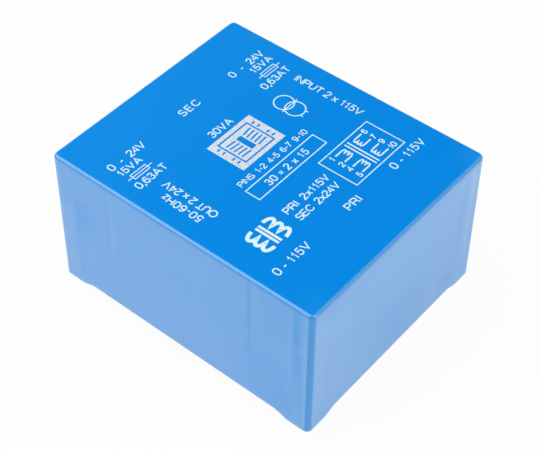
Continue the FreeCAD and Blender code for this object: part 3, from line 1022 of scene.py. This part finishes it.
def bobbin_finish():
    """Black plastic with a fine grain and faint flow marks."""
    finish = Finish("black_nylon")
    grain = finish.noise(0.2 * MM, 3.0)
    flow = finish.noise(4 * MM, 2.0, (0.3, 1, 1))
    colour = finish.mix(flow * 0.6 + grain * 0.4, (0.012, 0.012, 0.013), (0.03, 0.03, 0.032))
    relief = finish.bump(grain, 0.3, 0.02 * MM)
    return finish.done(finish.surface(Base_Color=colour, Roughness=0.45 + grain * 0.2, Normal=relief))


dress(["bobbin_front", "bobbin_rear"], bobbin_finish())


# The windings and their tape
# Enamelled copper wire in close turns round each bobbin, wrapped in a clear yellow polyester tape.

WIRE_SIZE = 0.5 * MM


def wire_finish():
    """Copper-red enamel, with painted shade in the groove between each two turns."""
    finish = Finish("enamelled_wire")
    x = finish.parts(finish.place())[0]
    turns = (x * (2 * np.pi / WIRE_SIZE)).sine() * 0.5 + 0.5
    cloud = finish.noise(2 * MM, 2.0)
    colour = finish.mix(cloud, (0.38, 0.10, 0.03), (0.55, 0.17, 0.05))
    # Painted shade: the wire's colour darkens towards black in the grooves between turns.
    colour = finish.mix((1 - turns) ** 3.0 * 0.6, colour, (0.08, 0.02, 0.01))
    relief = finish.bump(turns, 0.8, 0.12 * MM)
    enamel = finish.surface(
        Base_Color=colour,
        Metallic=0.7,
        Roughness=0.25 + cloud * 0.1,
        Coat_Weight=0.6,
        Normal=relief,
    )
    return finish.done(enamel)


def tape_finish():
    """Yellow film with shallow ripples across it."""
    finish = Finish("polyester_tape")
    ripple = finish.noise(1.5 * MM, 2.0, (0.2, 1, 1))
    colour = finish.mix(ripple, (0.62, 0.42, 0.05), (0.74, 0.54, 0.10))
    relief = finish.bump(ripple, 0.4, 0.03 * MM)
    return finish.done(finish.surface(Base_Color=colour, Roughness=0.22 + ripple * 0.12, Normal=relief))


dress([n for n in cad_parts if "_winding_" in n], wire_finish())
dress([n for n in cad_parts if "_tape_" in n], tape_finish())


# Floor, lamps and camera
# A plain white ground under the pins, soft boxes, and a camera that looks down on one corner.

FLOOR_HALF = 2.0
WHITE_SHARE = 0.95
floor_z = cad_box[0][2]


def floor_finish():
    """White ground: a real matt floor that takes the shadow, lifted to white where it is only seen."""
    finish = Finish("white_ground")
    matt = finish.surface(Base_Color=(0.86, 0.86, 0.86), Roughness=0.9, Specular_IOR_Level=0.1)
    glow = finish.node("ShaderNodeEmission", None, {"Color": (1, 1, 1), "Strength": 1.0})
    path = finish.node("ShaderNodeLightPath")
    rays = {out.name: Value(finish, out) for out in path.socket.node.outputs}
    seen = rays["Is Camera Ray"] + rays["Is Glossy Ray"] + rays["Is Transmission Ray"]
    return finish.done(finish.blend(seen.within(0, 1) * WHITE_SHARE, matt, glow))


floor_plan = box_path(-FLOOR_HALF, FLOOR_HALF, -FLOOR_HALF, FLOOR_HALF)
corners = [(x, y, floor_z) for x, y in floor_plan]
floor = mesh_object("floor", corners, [[0, 1, 2, 3]], smooth=False)
floor.data.materials.append(floor_finish())

WORLD_LIGHT = 0.42
world = bpy.data.worlds.new("studio")
bpy.context.scene.world = world
world.use_nodes = True
nodes, links = world.node_tree.nodes, world.node_tree.links
nodes.clear()
path = nodes.new("ShaderNodeLightPath")


def either(first, second):
    """1 where either of two outputs of the world's nodes is 1."""
    made = nodes.new("ShaderNodeMath")
    made.operation = "ADD"
    made.use_clamp = True
    links.new(first, made.inputs[0])
    links.new(second, made.inputs[1])
    return made.outputs[0]


seen = either(path.outputs["Is Camera Ray"], path.outputs["Is Transmission Ray"])
seen_or_mirrored = either(seen, path.outputs["Is Glossy Ray"])
strength = nodes.new("ShaderNodeMapRange")
strength.inputs["To Min"].default_value = WORLD_LIGHT
strength.inputs["To Max"].default_value = 1.0
links.new(seen_or_mirrored, strength.inputs["Value"])
background = nodes.new("ShaderNodeBackground")
background.inputs["Color"].default_value = (1, 1, 1, 1)
links.new(strength.outputs[0], background.inputs["Strength"])
world_output = nodes.new("ShaderNodeOutputWorld")
links.new(background.outputs[0], world_output.inputs["Surface"])


def placed(right, up, back, position):
    """Matrix from three axes and a place."""
    columns = np.column_stack([right, up, back, position])
    return Matrix(np.vstack([columns, [0, 0, 0, 1]]).tolist())


def soft_box(name, direction, distance, size, power, colour=(1, 1, 1)):
    """Square lamp that looks at the part from a direction."""
    light = bpy.data.lights.new(name, "AREA")
    light.shape = "SQUARE"
    light.size = size
    light.energy = power
    light.color = colour
    back = np.array(direction, float)
    back /= np.linalg.norm(back)
    right = np.cross([0, 0, 1.0], back)
    right /= np.linalg.norm(right)
    up = np.cross(back, right)
    lamp = bpy.data.objects.new(name, light)
    lamp.matrix_world = placed(right, up, back, back * distance)
    bpy.context.scene.collection.objects.link(lamp)


soft_box("key_left", (-0.50, -0.48, 0.74), 0.65, 0.75, 3.46)
soft_box("fill_right", (0.92, 0.10, 0.38), 0.70, 0.50, 1.87, (1.0, 0.985, 0.96))

CAMERA_AZIMUTH = np.radians(39.0388)
CAMERA_ELEVATION = np.radians(46.6733)
CAMERA_ROLL = np.radians(-0.6816)
CAMERA_DISTANCE = 300.131 * MM
CAMERA_LENS = 94.449
LOOK_AT = np.array([0, 0, 17.0]) * MM
LOOK_RIGHT = 0.3787 * MM
LOOK_DOWN = 1.6846 * MM

back = np.array(
    [
        np.sin(CAMERA_AZIMUTH) * np.cos(CAMERA_ELEVATION),
        -np.cos(CAMERA_AZIMUTH) * np.cos(CAMERA_ELEVATION),
        np.sin(CAMERA_ELEVATION),
    ]
)
right = np.cross(-back, [0, 0, 1.0])
right /= np.linalg.norm(right)
down = np.cross(-back, right)
rolled_right = np.cos(CAMERA_ROLL) * right + np.sin(CAMERA_ROLL) * down
rolled_down = np.cos(CAMERA_ROLL) * down - np.sin(CAMERA_ROLL) * right
position = LOOK_AT + rolled_right * LOOK_RIGHT + rolled_down * LOOK_DOWN + back * CAMERA_DISTANCE

camera_data = bpy.data.cameras.new("camera")
camera_data.lens = CAMERA_LENS
camera_data.sensor_width = 36.0
camera_data.clip_start = 0.01
camera = bpy.data.objects.new("camera", camera_data)
camera.matrix_world = placed(rolled_right, -rolled_down, back, position)
bpy.context.scene.collection.objects.link(camera)
bpy.context.scene.camera = camera
bpy.context.scene.view_settings.view_transform = "Standard"
